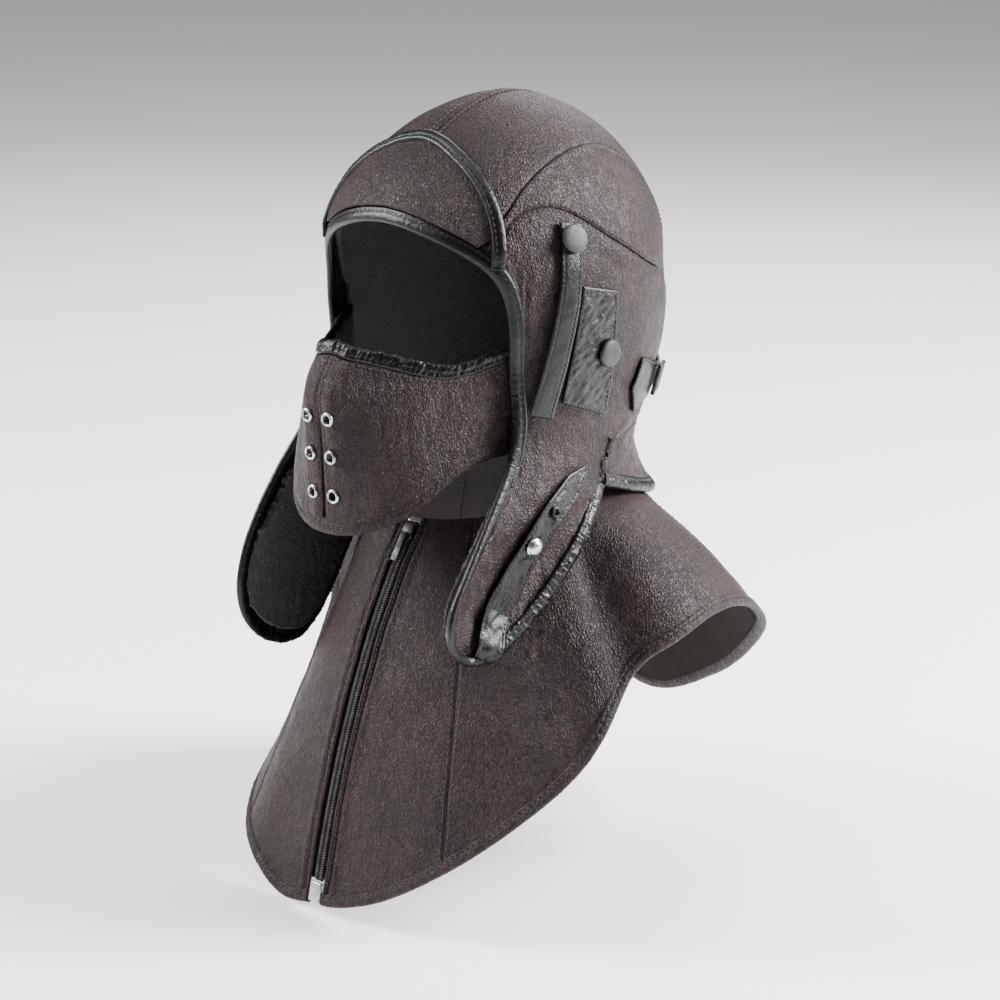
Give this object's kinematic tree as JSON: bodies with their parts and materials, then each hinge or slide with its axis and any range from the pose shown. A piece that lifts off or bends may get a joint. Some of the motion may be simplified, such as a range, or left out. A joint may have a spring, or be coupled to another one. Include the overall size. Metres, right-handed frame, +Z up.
{
  "type": "sheepskin hooded helmet",
  "caption": "Panelled leather flying hood with fleece lining, folded brow visor, ear flaps, vented face mask and a zipped shoulder cape.",
  "frame": {"origin": "top of the wearer's head, at the highest point inside the crown", "axes": "+Z up, the wearer looks along -Y, and the wearer's left ear is at +X"},
  "size_m": [0.3117, 0.3029, 0.4552],
  "materials": {
    "brown_leather": "semi-matt, grained",
    "black_leather": "semi-gloss, grained",
    "black_fleece": "clipped pile",
    "eyelet_steel": "polished",
    "matt_caps": "matt",
    "gunmetal": "satin",
    "zip_teeth": "dark satin",
    "zip_steel": "satin",
    "zip_tape": "woven"
  },
  "bodies": {
    "root": {"crown_left": "brown_leather", "upper_side_left": "brown_leather", "ear_panel_left": "brown_leather", "crown_right": "brown_leather", "upper_side_right": "brown_leather", "ear_panel_right": "brown_leather", "nape_panel": "brown_leather", "face_binding": "black_leather", "flap_binding_left": "black_leather", "flap_binding_right": "black_leather", "nape_binding": "black_leather", "fleece_lining": "black_fleece", "flap_fleece_left": "black_fleece", "flap_fleece_right": "black_fleece", "brow_visor": "brown_leather", "visor_binding": "black_leather", "mask_left": "brown_leather", "mask_right": "brown_leather", "eyelet_1": "eyelet_steel", "eyelet_2": "eyelet_steel", "eyelet_3": "eyelet_steel", "eyelet_4": "eyelet_steel", "eyelet_5": "eyelet_steel", "eyelet_6": "eyelet_steel", "mask_top_binding": "black_leather", "mask_foot_binding": "black_leather", "goggle_strap_left": "black_leather", "ear_patch_left": "black_leather", "goggle_snap_left": "matt_caps", "patch_snap_left": "matt_caps", "goggle_strap_right": "black_leather", "ear_patch_right": "black_leather", "goggle_snap_right": "matt_caps", "patch_snap_right": "matt_caps", "back_tab_left": "black_leather", "back_tab_right": "black_leather", "back_strap": "black_leather", "buckle": "gunmetal", "chin_strap": "black_leather", "chin_snap": "gunmetal", "chin_eyelet": "gunmetal", "cape_front_left": "brown_leather", "cape_side_left": "brown_leather", "cape_back": "brown_leather", "cape_side_right": "brown_leather", "cape_front_right": "brown_leather", "cape_hem": "brown_leather", "zip_tape_left": "zip_tape", "zip_tape_right": "zip_tape", "zip_chain": "zip_teeth", "zip_box": "zip_steel", "zip_slider": "gunmetal", "zip_pull": "gunmetal"}
  },
  "joints": []
}
